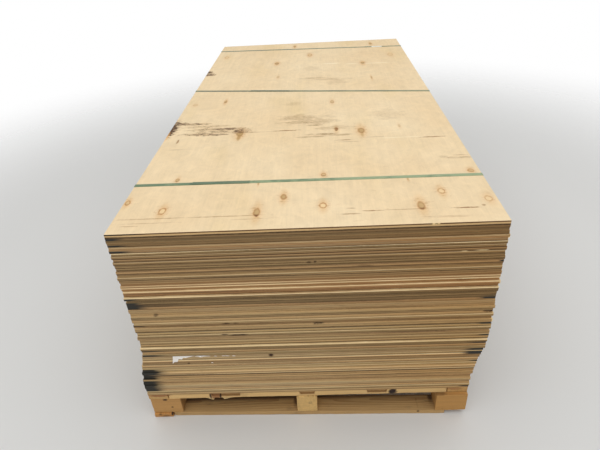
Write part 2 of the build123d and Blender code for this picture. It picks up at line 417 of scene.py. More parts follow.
# Bottom boards and runners: planks laid flat on the floor, the runners along the pallet
# and the cross boards between them, nailed up into the blocks.
for seed, (end, turned) in enumerate((("near", math.radians(-1.0)), ("middle", 0.0), ("far", 0.0))):
    plank = sawn_piece(f"pallet_bottom_board_{end}", 11 + seed, 0, (184, 150, 100), (0.02, 0.09),
                       turned=turned)
    plank.data.materials.append(timber)
for seed, (side, tint) in enumerate((("left", (205, 150, 84)), ("right", (192, 158, 108)))):
    plank = sawn_piece(f"pallet_bottom_side_board_{side}", 21 + seed, 1, tint, (0.03, 0.07),
                       step=(0.02, 0.0065))
    plank.data.materials.append(timber)

# Blocks: short lengths of the same timber, three in a row under each cross board. The
# middle one of a row is turned, so its end grain faces out.
BLOCK_TINTS = {"near": ((186, 142, 86), (226, 187, 121), (184, 138, 78)),
               "middle": ((203, 165, 108), (198, 158, 100), (206, 168, 112)),
               "far": ((199, 157, 98), (210, 172, 114), (195, 153, 96))}
for row, (end, tints) in enumerate(BLOCK_TINTS.items()):
    for column, side in enumerate(("left", "centre", "right")):
        block = sawn_piece(f"pallet_block_{end}_{side}", 31 + 3 * row + column, 1 if column == 1 else 0,
                           tints[column], (-0.05 + 0.03 * column, -0.03), arris=0.0022,
                           step=(0.006, 0.006))
        block.data.materials.append(timber)

# Top boards: a frame of planks that carries the sheets, two along the sides and three
# across between them, nailed down into the blocks.
for seed, (side, tint) in enumerate((("left", (208, 168, 108)), ("right", (204, 160, 98)))):
    plank = sawn_piece(f"pallet_top_side_board_{side}", 51 + seed, 1, tint, (0.03, 0.08),
                       step=(0.02, 0.0065))
    plank.data.materials.append(timber)
for seed, end in enumerate(("middle", "far")):
    plank = sawn_piece(f"pallet_top_board_{end}", 61 + seed, 0, (212, 174, 118), (0.01, 0.08))
    plank.data.materials.append(timber)

# The near top board has lost slivers along its upper front corner, torn out along the
# grain: the middle of each, half its length and how far down it goes.
TORN_OUT = ((-0.317, 0.058, 0.013), (0.003, 0.031, 0.014), (0.275, 0.040, 0.013))


def torn_front(rows, worn, low, high):
    """Presses the top down to a ceiling: over each torn stretch the ceiling drops towards the
    front face, with a ragged line that noise along the grain gives it."""
    x, y, z = rows[..., 0], rows[..., 1], rows[..., 2]
    ragged = lattice_noise(np.stack([x, 0 * x, 0 * x], -1), 190.0, 5)
    ceiling = np.full(x.shape, high[2])
    torn = np.zeros(x.shape)
    for middle, reach, down in TORN_OUT:
        along = ease(np.abs(x - middle), reach, reach - 0.004)
        inwards = 1 - ease(y, low[1] + 0.006, low[1] + 0.010 + 0.0015 * ragged)
        torn = np.maximum(torn, along * inwards)
        ceiling = np.minimum(ceiling, high[2] - down * (1 + 0.07 * ragged) * along * inwards)
    rows = rows.copy()
    rows[..., 2] = np.minimum(z, ceiling)
    return rows, np.clip(worn + 0.75 * torn * (z > high[2] - 0.016), 0, 1)


plank = sawn_piece("pallet_top_board_near", 71, 0, (216, 180, 122), (0.01, 0.07),
                   step=(0.004, 0.003), shaping=torn_front)
plank.data.materials.append(timber)

# Two splinters hang from its lower edge. Each is a wedge, whose depth below the board
# grows to a tip and runs out again: where it starts, stops and has its tip, and its depth.
SPLINTERS = ((-0.398, -0.362, -0.370, 0.010), (-0.332, -0.286, -0.326, 0.008))
for number, (start, stop, tip, drop) in enumerate(SPLINTERS):
    x = np.linspace(start, stop, 19)
    hang = drop * np.minimum(ease(x, start, tip), ease(x, stop, tip)) + 0.0003
    hang = hang * (1 + 0.2 * lattice_noise(np.stack([x, 0 * x, 0 * x], -1), 400.0, 77 + number))
    low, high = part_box("pallet_top_board_near")
    profile = ((0.0005, 0.003, 0), (0.0012, 0, 1), (0.0032, 0, 0.8), (0.0050, 0.003, 0))
    loops = [np.stack([x, 0 * x + low[1] + inwards, low[2] + above - below * hang], -1)
             for inwards, above, below in profile]
    points, quads, triangles = closed_tube(np.stack(loops, 1))
    splinter = mesh_piece(f"splinter_{number + 1}", points, quads, triangles)
    keep(splinter, "log", "FLOAT_VECTOR", points - np.array([0, low[1], 0.2]))
    for field in ("end_grain", "wane"):
        keep(splinter, field, "FLOAT", np.zeros(len(points)))
    pale = np.tile(linear(232, 200, 142)[:3], (len(points), 1))
    keep(splinter, "tint", "FLOAT_VECTOR", pale)
    splinter.data.materials.append(timber)
    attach(splinter, "root")

# Plywood edges: each sheet is five veneers glued crosswise. The two faces and the core run
# along the sheet, so its end shows them as end grain and the two between as long grain, and
# its sides the other way round.
SHEET, DECK, VENEERS = 0.012, 0.136, 5.0
edge, inside, result = group("plywood edge", [("Place", "vector"), ("Facing", "vector")],
                             [("Colour", "colour"), ("Height", "value")])
at_x, at_y, at_z = put(edge, "SeparateXYZ", {0: inside.outputs["Place"]}).outputs
sideways, _, upwards = put(edge, "SeparateXYZ", {0: inside.outputs["Facing"]}).outputs
side = calc(edge, "GREATER_THAN", calc(edge, "ABSOLUTE", sideways), 0.5)
height = calc(edge, "DIVIDE", calc(edge, "SUBTRACT", at_z, DECK), SHEET)
layer = calc(edge, "FLOOR", height)
within = calc(edge, "SUBTRACT", height, layer)
run = calc(edge, "ADD", times(edge, at_x, calc(edge, "SUBTRACT", 1.0, side)), times(edge, at_y, side))
chance = put(edge, "TexWhiteNoise", {"W": layer}, noise_dimensions="1D").outputs
hues = put(edge, "SeparateColor", {0: chance["Color"]}).outputs
# Slow waves along each sheet, different for every sheet
per_sheet = put(edge, "CombineXYZ", {0: run, 1: times(edge, layer, 3.17), 2: side}).outputs[0]
slow = noise(edge, per_sheet, (1.6, 1, 1))
quick = noise(edge, per_sheet, (14, 1, 1), 3.0, 0.6)
veneer = weighed(edge, 0.0, (within, VENEERS), (calc(edge, "SUBTRACT", slow, 0.5), 0.5))
number = calc(edge, "FLOOR", veneer)
own = {"W": weighed(edge, number, (layer, 7.0))}
own = put(edge, "TexWhiteNoise", own, noise_dimensions="1D").outputs["Value"]
odd = calc(edge, "MODULO", calc(edge, "ADD", number, 10.0), 2.0)
long_grain = calc(edge, "ABSOLUTE", calc(edge, "SUBTRACT", odd, side))
end_grain = calc(edge, "SUBTRACT", 1.0, long_grain)
fine = put(edge, "CombineXYZ", {0: run, 1: at_z, 2: times(edge, layer, 0.37)}).outputs[0]
lines = noise(edge, fine, (16, 900, 1), 4.0, 0.75)
pores = noise(edge, fine, (420, 700, 1), 3.0, 0.8)
texture = put(edge, "Mix", {0: long_grain, 2: pores, 3: lines}).outputs[0]
per_veneer = put(edge, "CombineXYZ", {0: run, 1: times(edge, veneer, 5.7)}).outputs[0]
fade = noise(edge, per_veneer, (5, 1, 1), 3.0, 0.7)
shade = weighed(edge, -0.52, (texture, 1.0), (chance["Value"], 0.36), (own, 0.70), (slow, 0.24),
                (fade, 0.55))
# The joint under a sheet is a painted shadow of the gap: a dark line that opens and closes.
# The arris above it has a pale painted highlight that comes and goes. Here and there the end grain has a
# void
open_joint = step_between(edge, weighed(edge, hues[1], (quick, 0.8)), 0.55, 1.25, 0.1, 1.0)
joint_shadow = times(edge, step_between(edge, within, 0.30, 0.12), open_joint)
wear_and_highlight = step_between(edge, weighed(edge, hues[2], (fade, 0.8)), 1.05, 1.6)
arris = times(edge, step_between(edge, within, 0.84, 0.92), wear_and_highlight)
voids = times(edge, step_between(edge, noise(edge, fine, (40, 420, 1)), 0.68, 0.73), end_grain)
colour = blend(edge, long_grain, linear(164, 134, 92), linear(196, 170, 120))
colour = toned(edge, coats(edge, colour, (hues[0], 0.4, (180, 134, 94))), calc(edge, "MAXIMUM", shade, 0.22))
# Painted: a highlight on the arris and a shadow at the joint
colour = coats(edge, colour, (arris, 0.8, (222, 194, 142)), (joint_shadow, 0.95, (74, 50, 30)),
               (voids, 0.8, (58, 40, 26)))
ledge = blend(edge, quick, linear(192, 160, 112), linear(234, 204, 152))
colour = blend(edge, step_between(edge, upwards, 0.4, 0.6), colour, ledge)
relief = weighed(edge, 0.0, (texture, 0.35), (quick, 0.15), (joint_shadow, -0.8), (voids, -0.5))
edge.links.new(colour, result.inputs["Colour"])
edge.links.new(relief, result.inputs["Height"])

# The sheets under the top one: their ends are darker and browner in the upper part of the stack,
# and water has left grey-black marks that reach in from the corners. Each mark goes from this
# height to that, and has the corner's place across, how far it reaches and its strength
WATER_MARKS = (
    (868, 876, -592, 74, 1.4), (845, 851, -592, 90, 1.4), (822, 829, -592, 90, 1.4),
    (628, 636, -592, 66, 1.1), (603, 612, -592, 70, 1.4), (583, 603, -592, 88, 1.3),
    (540, 545, -592, 62, 1.4), (503, 508, -592, 62, 1.5), (374, 380, -592, 100, 1.3),
    (353, 361, -596, 112, 1.35), (250, 281, -612, 104, 1.25), (243, 251, -616, 80, 1.0),
    (231, 244, -616, 84, 1.25), (158, 223, -625, 94, 1.25), (741, 747, 662, -26, 1.3),
    (597, 600, 660, -66, 0.9), (585, 593, 660, -76, 1.5), (469, 476, 661, -62, 1.5),
    (413, 419, 661, -56, 1.2), (377, 383, 658, -82, 1.4), (340, 350, 654, -90, 1.4),
    (320, 335, 650, -82, 1.8), (283, 289, 640, -52, 1.0), (143, 148, 625, -50, 1.4))
# The sheets that lie a little proud, painted on the ends as pale lines: the pale face of each
# ledge, with a painted highlight where the light catches it. Each by height and strength
PROUD_LINES = (
    (844, 0.3), (832, 0.25), (819, 1.3), (808, 0.25), (784, 0.25), (724, 0.4), (688, 0.6), (679.5, 0.9),
    (664, 1.0), (640, 1.25), (580, 0.1), (520, 0.55), (472, 0.15), (460, 0.6), (424, 0.25), (400, 1.35),
    (364, 0.2), (340, 0.45), (328, 0.9), (304, 0.3), (292, 0.3), (280, 0.5), (268, 0.4), (252, 1.2),
    (160, 0.7), (148, 0.2))
# Whole sheets with paler edges, and joints in the shade of the sheet above them, each by
# height, half thickness and strength
PALE_SHEETS = (
    (187, 13, 0.32), (572, 9, 0.06), (346, 6, 0.16), (826, 5, 0.12))
DARK_JOINTS = (
    (868, 3, 0.5), (752, 3, 0.5), (652, 2.5, 0.4), (602, 8, 0.22), (504, 5, 0.42), (449, 4, 0.3),
    (378, 4, 0.3), (354, 3.5, 0.3), (628, 3, 0.3), (244, 4, 0.2), (797, 4, 0.25))
# Small dark marks, the first of them a painted shadow right across the end under the top
# sheet, and pale chips where corners of the right side have been knocked
SMALL_MARKS_AND_SHADOW = (
    (0, 878.4, 9000, 2.0, 0.85), (-262, 507, 16, 3.8, 1.5), (-228, 508, 12, 3.4, 1.4),
    (-275, 456, 16, 3, 0.9), (-225, 453, 34, 3.5, 1.1), (62, 498, 22, 2.4, 1.2), (-500, 557, 9, 6, 0.6),
    (-430, 310, 6, 5, 0.7), (652, 529, 9, 4.5, 1.0), (40, 761, 9, 4, 0.7), (60, 762, 5, 4, 0.8),
    (217, 742, 40, 3, 0.45), (545, 672, 30, 3, 0.8), (-120, 342, 11, 9, 1.0), (640, 530, 16, 5, 0.8),
    (-500, 250, 190, 3, 0.6), (-480, 600, 90, 8, 0.4), (150, 590, 260, 3, 0.5), (-350, 655, 300, 3, 0.5),
    (280, 560, 240, 3, 0.45), (60, 816, 420, 3, 0.45), (-200, 715, 200, 3, 0.5), (400, 442, 180, 3, 0.5),
    (-100, 300, 320, 2.5, 0.45), (300, 228, 240, 3, 0.5), (190, 650, 200, 3, 0.6))
CHIPS = (
    (661, 868, 3, 5, 1.0), (662, 853, 3, 6, 1.0), (660, 832, 3, 4, 1.0), (662, 800, 3, 4, 0.9),
    (662, 778, 3, 9, 1.0), (661, 655, 3, 12, 0.8), (660, 640, 4, 3, 0.9), (661, 574, 3, 8, 0.9),
    (661, 494, 3, 8, 0.9), (560, 676, 26, 2.6, 0.9), (540, 675, 7, 2.5, 1.0), (585, 786, 20, 2, 0.6),
    (530, 784, 14, 2, 0.5))
soak, inside, result = group("soak", [("Level", "value"), ("Across", "value"), ("Low", "value"),
                                      ("High", "value"), ("Corner", "value"), ("Reach", "value"),
                                      ("Ragged", "value"), ("Strength", "value"), ("So far", "value")],
                             [("Amount", "value")])
given = inside.outputs
SOFTNESS = 0.0006
over_low, under_high = (step_between(soak, calc(soak, "SUBTRACT", given[a], given[b]), -SOFTNESS, SOFTNESS)
                        for a, b in (("Level", "Low"), ("High", "Level")))
inwards = calc(soak, "DIVIDE", calc(soak, "SUBTRACT", given["Across"], given["Corner"]), given["Reach"])
inwards = calc(soak, "ADD", inwards, given["Ragged"])
mark = times(soak, step_between(soak, inwards, 1.0, 0.15), over_low, under_high, given["Strength"])
soak.links.new(calc(soak, "MAXIMUM", mark, given["So far"]), result.inputs[0])


def bands(tree, place, ragged, levels, all_across=9000):
    """Smears right across the end, each as (height, half thickness, strength) in millimetres."""
    marks = [(0, level, all_across, half, strength) for level, half, strength in levels]
    return smears(tree, place, ragged, marks, (0, 2))


END_ZONE = -1.235
PROUD_DROP, PROUD_HALF = 1.6, 1.7
sheet_edges, tree, shader = new_material("plywood edges")
place = put(tree, "TexCoord").outputs["Object"]
facing = put(tree, "NewGeometry").outputs["Normal"]
ply = use(tree, edge, Place=place, Facing=facing).outputs
at_x, at_y, at_z = put(tree, "SeparateXYZ", {0: place}).outputs
near_end = calc(tree, "LESS_THAN", at_y, END_ZONE)
browner = step_between(tree, at_z, 0.66, 0.88, 0.0, 0.35)
browner = weighed(tree, browner, (step_between(tree, at_z, 0.580, 0.588), 0.5))
colour = blend(tree, browner, ply["Colour"], linear(214, 206, 200), "MULTIPLY")
sway = uneven(tree, 1.1, place, (6, 6, 30))
warmed = times(tree, bands(tree, place, 0.0, ((668, 34, 0.32), (826, 12, 0.12))),
               calc(tree, "MAXIMUM", near_end, 0.4))
pale = bands(tree, place, sway, PALE_SHEETS)
dim = bands(tree, place, sway, DARK_JOINTS)
colour = coats(tree, colour, (warmed, 1.0, (188, 132, 84)), (pale, 1.0, (236, 208, 160)),
               (dim, 1.0, (64, 44, 28)))
golden = step_between(tree, at_x, -0.1, 0.65, 0.0, 0.75)
colour = blend(tree, golden, colour, linear(246, 234, 214), "MULTIPLY")
# Pale lines with a painted highlight, just under the top of each proud sheet's end
ledge_highlight = [(level - PROUD_DROP, PROUD_HALF, strength) for level, strength in PROUD_LINES]
ledge_highlight = bands(tree, place, sway, ledge_highlight)
soaked = uneven(tree, 0.9, place, (8, 8, 260))
wet = 0.0
for low, high, corner, reach, strength in WATER_MARKS:
    wet = use(tree, soak, Level=at_z, Across=at_x, Low=low / 1000, High=high / 1000, Corner=corner / 1000,
              Reach=reach / 1000, Ragged=soaked, Strength=strength, So_far=wet).outputs[0]
wet = times(tree, wet, near_end)
crisp = uneven(tree, 1.6, place, (75, 75, 300))
# The first of the small marks is the painted shadow under the top sheet
spots_and_shadow, chipped = (smears(tree, place, crisp, marks, (0, 2)) for marks in (SMALL_MARKS_AND_SHADOW, CHIPS))
colour = coats(tree, colour, (ledge_highlight, near_end, (255, 228, 176)), (wet, 1.0, (44, 42, 36)),
               (spots_and_shadow, near_end, (58, 38, 26)), (chipped, near_end, (252, 226, 172)))
surface(tree, shader, colour, weighed(tree, 0.82, (wet, -0.2)), ply["Height"], depth=0.0004)
shader.inputs["Specular IOR Level"].default_value = 0.25
for name in ("sheets_odd", "sheets_even"):
    nodes[name].data.materials.clear()
    nodes[name].data.materials.append(sheet_edges)

# Top sheet: its face veneer is peeled from a softwood log in one long turn after turn, so
# its knots come back at even steps across the sheet. It is pale and dry, with water stains
# and checks. Each knot is given across and up the sheet from its near left corner, by half
# width and half length, then by how strong its brown core, its rim and its dark lower side are
KNOTS = (
    (13, 197, 8, 15, 0.35, 1.0, 0.3), (150, 132, 11, 19, 0.0, 0.9, 0.1),
    (467, 103, 11, 27, 0.85, 0.5, 1.0), (550, 199, 10, 20, 0.9, 0.6, 0.1),
    (683, 132, 11, 18, 0.0, 0.95, 0.1), (999, 109, 12, 26, 0.8, 0.5, 0.7),
    (1082, 199, 11, 18, 0.0, 0.8, 0.1), (1222, 138, 12, 17, 0.0, 0.6, 0.0),
    (149, 356, 7, 14, 0.7, 0.5, 0.7), (454, 304, 3, 11, 0.6, 0.2, 0.0), (688, 355, 9, 12, 0.5, 0.8, 0.7),
    (985, 301, 3, 12, 0.6, 0.2, 0.0), (1218, 344, 11, 12, 0.45, 0.8, 0.3),
    (197, 1237, 7, 20, 0.9, 0.4, 0.6), (745, 1165, 9, 22, 0.5, 0.5, 0.2),
    (45, 1203, 12, 14, 0.3, 0.2, 0.0), (751, 796, 8, 20, 0.75, 0.2, 1.0),
    (1028, 804, 6, 16, 0.35, 0.1, 0.1), (859, 768, 15, 30, 0.95, 0.35, 0.1),
    (327, 786, 15, 28, 1.0, 0.1, 0.2), (418, 1956, 13, 22, 1.0, 0.4, 1.0),
    (627, 2135, 14, 26, 0.15, 0.8, 0.2), (65, 2172, 14, 24, 0.1, 0.5, 0.1),
    (1150, 2055, 16, 30, 0.1, 0.4, 0.0), (957, 1878, 12, 22, 0.95, 0.4, 0.9),
    (1052, 2385, 9, 24, 0.9, 0.3, 0.5), (518, 2400, 9, 24, 0.9, 0.3, 0.5),
    (444, 1648, 8, 22, 0.35, 0.2, 0.0), (980, 1555, 4, 24, 0.7, 0.2, 0.4))
top_low, top_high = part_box("top_sheet")


def knot_by_knot(piece):
    """Gives each face of the sheet its nearest knot. A corner's place counted from that knot, in
    half widths and half lengths of it, is linear over the face, so the material gets it exact."""
    mesh = piece.data
    corners, starts = np.zeros(len(mesh.loops), int), np.zeros(len(mesh.polygons), int)
    sizes = starts.copy()
    mesh.loops.foreach_get("vertex_index", corners)
    mesh.polygons.foreach_get("loop_start", starts)
    mesh.polygons.foreach_get("loop_total", sizes)
    points = np.zeros(len(mesh.vertices) * 3)
    mesh.vertices.foreach_get("co", points)
    points = points.reshape(-1, 3)[corners, :2] - (top_low[0], top_low[1])
    centres = np.add.reduceat(points, starts, axis=0) / sizes[:, None]
    table = np.array(KNOTS)
    middles, halves = table[:, :2] / 1000, table[:, 2:4] / 1000
    away = np.linalg.norm((centres[:, None] - middles) / np.sqrt(halves), axis=-1)
    nearest = np.repeat(away.argmin(1), sizes)
    offset = points - middles[nearest]
    knot_place = np.column_stack([offset / halves[nearest], offset[:, 0] * 10])
    keep(piece, "knot_place", "FLOAT_VECTOR", knot_place, "CORNER")
    keep(piece, "knot_looks", "FLOAT_VECTOR", table[nearest, 4:], "CORNER")


rows, _, _ = sawn_rows(top_low, top_high, 1, 81, 0.0006, (0.02, 0.02), rough=0.0)
sheet = mesh_piece("top_sheet_faced", *closed_tube(rows))
knot_by_knot(sheet)
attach(sheet, "root")
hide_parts("top_sheet")
face, tree, shader = new_material("plywood face")
place = put(tree, "TexCoord").outputs["Object"]
facing = put(tree, "NewGeometry").outputs["Normal"]
flat = stretched(tree, place, (1, 1, 0), (-top_low[0], -top_low[1], 0))
wobble = put(tree, "TexNoise", {"Vector": stretched(tree, flat, (70, 35, 1)), "Scale": 1.0, "Detail": 2.0})
wobble = vector_calc(tree, "SUBTRACT", wobble.outputs[1], (0.5, 0.5, 0.5))
from_knot = put(tree, "Attribute", attribute_name="knot_place").outputs["Vector"]
looks = put(tree, "Attribute", attribute_name="knot_looks").outputs["Vector"]
brown, rimmed, dark_below = put(tree, "SeparateXYZ", {0: looks}).outputs
shaken = vector_calc(tree, "ADD", vector_calc(tree, "MULTIPLY", from_knot, (1, 1, 0)),
                     vector_calc(tree, "MULTIPLY", wobble, (0.6, 0.6, 0)))
distance = vector_calc(tree, "LENGTH", shaken, result=1)
along = vector_calc(tree, "DOT_PRODUCT", shaken, (0, 1, 0), result=1)
inner = step_between(tree, distance, 1.1, 0.75)
core = times(tree, inner, brown)
rim = step_between(tree, calc(tree, "ABSOLUTE", calc(tree, "SUBTRACT", distance, 0.95)), 0.27, 0.05)
broken = step_between(tree, noise(tree, flat, (75, 45, 1), 3.0, 0.7), 0.36, 0.56, 0.45, 1.0)
rim = times(tree, rim, broken, rimmed)
dark = times(tree, inner, step_between(tree, along, -0.30, -0.85), dark_below)
either = calc(tree, "MAXIMUM", brown, rimmed)
near_knot = step_between(tree, distance, 3.4, 0.7)
halo = times(tree, near_knot, either)
drawn_out = vector_calc(tree, "LENGTH", vector_calc(tree, "MULTIPLY", shaken, (0.62, 0.33, 0)), result=1)
smudge = times(tree, step_between(tree, drawn_out, 1.35, 0.1), either)
# The grain runs round each knot: its place is pushed away from the knot, sideways
bend = times(tree, near_knot, vector_calc(tree, "DOT_PRODUCT", from_knot, (0, 0, 0.055), result=1))
bend = put(tree, "CombineXYZ", {0: bend, 1: 0.0, 2: 0.0}).outputs[0]
grain_place = vector_calc(tree, "SUBTRACT", flat, bend)
# Figure: the contour lines of a slow noise, as a peeling knife cuts the rings
FIGURE_LINES, SWIRL_LINES = 26.0, 17.0
contour = noise(tree, grain_place, (3.4, 0.75, 1), 2.0, 0.45)
contour = calc(tree, "FRACT", times(tree, contour, FIGURE_LINES))
figure = times(tree, step_between(tree, contour, 0.0, 0.75), step_between(tree, contour, 1.0, 0.85))
fibre = noise(tree, grain_place, (520, 9, 1), 3.0, 0.6)
streak = noise(tree, grain_place, (70, 1.6, 1), 3.0, 0.6)
mottle = noise(tree, flat, (15, 13, 1), 6.0, 0.72, 1.4)
grit = noise(tree, flat, (150, 62, 1), 3.0, 0.7)
swirl = noise(tree, flat, (3.1, 2.2, 1), 3.0, 0.5, 0.8)
swirl = calc(tree, "PINGPONG", times(tree, swirl, SWIRL_LINES), 1.0)
brows = calc(tree, "SINE", weighed(tree, 0.0, (distance, 11.0), (mottle, 14.0)))
shade = weighed(tree, 0.675, (fibre, 0.15), (streak, 0.12), (grit, 0.08), (mottle, 0.29), (figure, -0.014),
                (swirl, -0.035), (times(tree, brows, halo), -0.04))
blotch = noise(tree, flat, (2.3, 1.7, 1), 3.0, 0.55)
clouds = step_between(tree, noise(tree, flat, (4, 1.3, 1)), 0.5, 0.75, 0.0, 0.5)
colour = blend(tree, blotch, linear(229, 199, 154), linear(245, 226, 190))
colour = toned(tree, coats(tree, colour, (clouds, 1.0, (228, 202, 152))), shade)
whiskers = step_between(tree, noise(tree, flat, (45, 110, 1), 4.0, 0.7), 0.54, 0.64)
whiskers = times(tree, whiskers, halo)
flecks = step_between(tree, noise(tree, flat, (16, 48, 1), 6.0, 0.72), 0.60, 0.74, 0.0, 0.5)
flecks = times(tree, flecks, step_between(tree, noise(tree, flat, (1.7, 1.1, 1)), 0.38, 0.58))
pale_heart = calc(tree, "SUBTRACT", rimmed, brown, clamp=True)
pale_heart = times(tree, pale_heart, step_between(tree, distance, 0.92, 0.5))
colour = coats(tree, colour, (halo, 0.22, (222, 178, 132)), (smudge, 0.48, (214, 166, 100)),
               (whiskers, 0.62, (172, 124, 78)), (flecks, 1.0, (186, 148, 100)),
               (pale_heart, 0.42, (250, 228, 178)))
heart = blend(tree, step_between(tree, distance, 0.25, 0.95), linear(190, 158, 108), linear(164, 128, 80))
colour = blend(tree, times(tree, core, 0.9), colour, heart)
tails = smears(tree, flat, 0.0, ((327, 752, 9, 44, 0.85), (331, 800, 15, 18, 0.5), (860, 728, 7, 34, 0.45)),
               (0, 1))
colour = coats(tree, colour, (tails, 1.0, (180, 144, 92)), (rim, 0.8, (176, 116, 56)),
               (dark, 0.9, (98, 54, 30)))
# Stains: a black one from the left edge that breaks into specks, grey smears, brown checks
# across the grain and pale rubbed lines, on the sheet's own millimetres
BLACK = (
    (-4, 882, 38, 114, 1.3), (20, 938, 56, 24, 1.05), (90, 928, 90, 16, 0.85), (146, 893, 120, 18, 0.66),
    (180, 855, 110, 18, 0.76), (270, 853, 90, 18, 0.92), (322, 822, 50, 34, 0.9),
    (150, 800, 100, 18, 0.86), (205, 787, 90, 10, 0.9), (150, 826, 30, 26, 0.72), (232, 826, 70, 34, 0.72),
    (4, 1815, 32, 34, 1.05), (14, 1762, 50, 26, 1.15), (376, 800, 40, 8, 0.5))
GREY = (
    (598, 954, 110, 45, 0.42), (636, 899, 120, 40, 0.4), (590, 893, 66, 13, 0.6), (655, 855, 42, 9, 0.6),
    (734, 814, 80, 22, 0.35), (640, 722, 60, 12, 0.5), (700, 744, 70, 10, 0.75), (777, 731, 50, 10, 0.6),
    (655, 1592, 60, 24, 0.45), (738, 1560, 120, 20, 0.3), (779, 1500, 60, 45, 0.22),
    (993, 954, 90, 70, 0.2), (542, 1156, 40, 30, 0.25), (1203, 452, 60, 6, 0.45), (1230, 462, 30, 6, 0.4),
    (1145, 466, 18, 14, 0.3), (78, 639, 60, 10, 0.2), (633, 1800, 60, 60, 0.15))
CHECKS = (
    (130, 86, 140, 3.0, 0.45), (360, 85, 130, 3.0, 0.5), (120, 59, 110, 2.2, 0.35),
    (440, 63, 70, 2.2, 0.35), (60, 44, 32, 3, 0.4), (775, 107, 16, 2.5, 0.6), (842, 87, 34, 3.0, 0.85),
    (955, 88, 90, 2.4, 0.45), (1140, 86, 44, 3.0, 1.1), (768, 72, 32, 3.2, 0.7), (1195, 98, 7, 5, 0.6),
    (1080, 33, 60, 2.2, 0.35), (534, 803, 60, 4.5, 0.9), (412, 799, 100, 2.5, 0.4),
    (785, 671, 35, 5.0, 0.7), (800, 651, 50, 3.0, 0.4), (1141, 667, 60, 4.0, 0.85),
    (899, 691, 50, 3.0, 0.4), (1059, 39, 90, 2.0, 0.35), (1179, 461, 22, 3, 0.6), (1213, 479, 30, 3, 0.5),
    (64, 727, 5, 24, 0.8), (754, 800, 8, 15, 0.85))
PALE = (
    (770, 1898, 60, 14, 0.6), (889, 1872, 40, 8, 0.5), (1045, 1862, 100, 9, 0.5), (1025, 675, 130, 4, 0.5))
hairs = noise(tree, flat, (38, 140, 1), 5.0, 0.8, 0.6)
soft = uneven(tree, 3.0, flat, (13, 34, 1), 6.0)
washed = smears(tree, flat, uneven(tree, 3.2, flat, (34, 90, 1), 6.0, 0.72), BLACK, (0, 1))
blackened = weighed(tree, washed, (calc(tree, "SUBTRACT", hairs, 0.5), 3.4))
blackened = step_between(tree, blackened, 0.78, 1.0)
greyed = times(tree, smears(tree, flat, soft, GREY, (0, 1)),
               step_between(tree, hairs, 0.36, 0.64, 0.25, 1.45))
checked = smears(tree, flat, uneven(tree, 3.0, flat, (45, 200, 1), 4.0), CHECKS, (0, 1))
wear_and_highlight = smears(tree, flat, soft, PALE, (0, 1))
orange = smears(tree, flat, 0.0, ((-2, 790, 13, 62, 0.55),), (0, 1))
colour = coats(tree, colour, (washed, 0.48, (172, 136, 94)), (blackened, 0.95, (74, 49, 32)),
               (greyed, 1.0, (150, 120, 82)), (checked, 1.0, (140, 96, 54)), (wear_and_highlight, 1.0, (250, 235, 205)),
               (orange, 1.0, (236, 178, 106)))
# The sheet's own edges take the plywood edge instead of the face, with a thin dark line
# under the face veneer and one over the lower one
FACE_JOINT, BACK_JOINT = 0.887, 0.881
ply = use(tree, edge, Place=place, Facing=facing).outputs
upward = step_between(tree, put(tree, "SeparateXYZ", {0: facing}).outputs[2], 0.4, 0.6)
rise = uneven(tree, 0.0028, place, (9, 9, 60), 4.0)
level = calc(tree, "ADD", put(tree, "SeparateXYZ", {0: place}).outputs[2], rise)
core_ply = step_between(tree, level, FACE_JOINT + 0.0004, FACE_JOINT - 0.0006)
skin = step_between(tree, level, FACE_JOINT - 0.0004, FACE_JOINT + 0.0006)
under = step_between(tree, level, BACK_JOINT + 0.0004, BACK_JOINT - 0.0004)
nicks = smears(tree, place, rise, ((426, 889, 6, 3.5, 1.0), (441, 890, 5, 3, 0.9), (434, 888, 3, 3, 0.6)),
               (0, 2))
wet = smears(tree, place, uneven(tree, 1.1, place, (9, 9, 160), rough=0.6),
             ((-610, 890, 150, 3.4, 1.0), (-640, 881, 110, 1.5, 0.8)), (0, 2))
side_colour = coats(tree, ply["Colour"], (core_ply, 0.85, (222, 186, 132)), (skin, 0.9, (96, 66, 42)),
                    (under, 0.9, (78, 50, 34)), (nicks, 1.0, (240, 208, 150)), (wet, 1.0, (38, 34, 30)))
colour = blend(tree, upward, side_colour, colour)
relief = weighed(tree, 0.0, (fibre, 0.5), (dark, -0.6), (checked, -0.25))
relief = put(tree, "Mix", {0: upward, 2: ply["Height"], 3: relief}).outputs[0]
surface(tree, shader, colour, weighed(tree, 0.74, (fibre, -0.12)), relief, depth=0.0004)
shader.inputs["Specular IOR Level"].default_value = 0.12
sheet.data.materials.append(face)

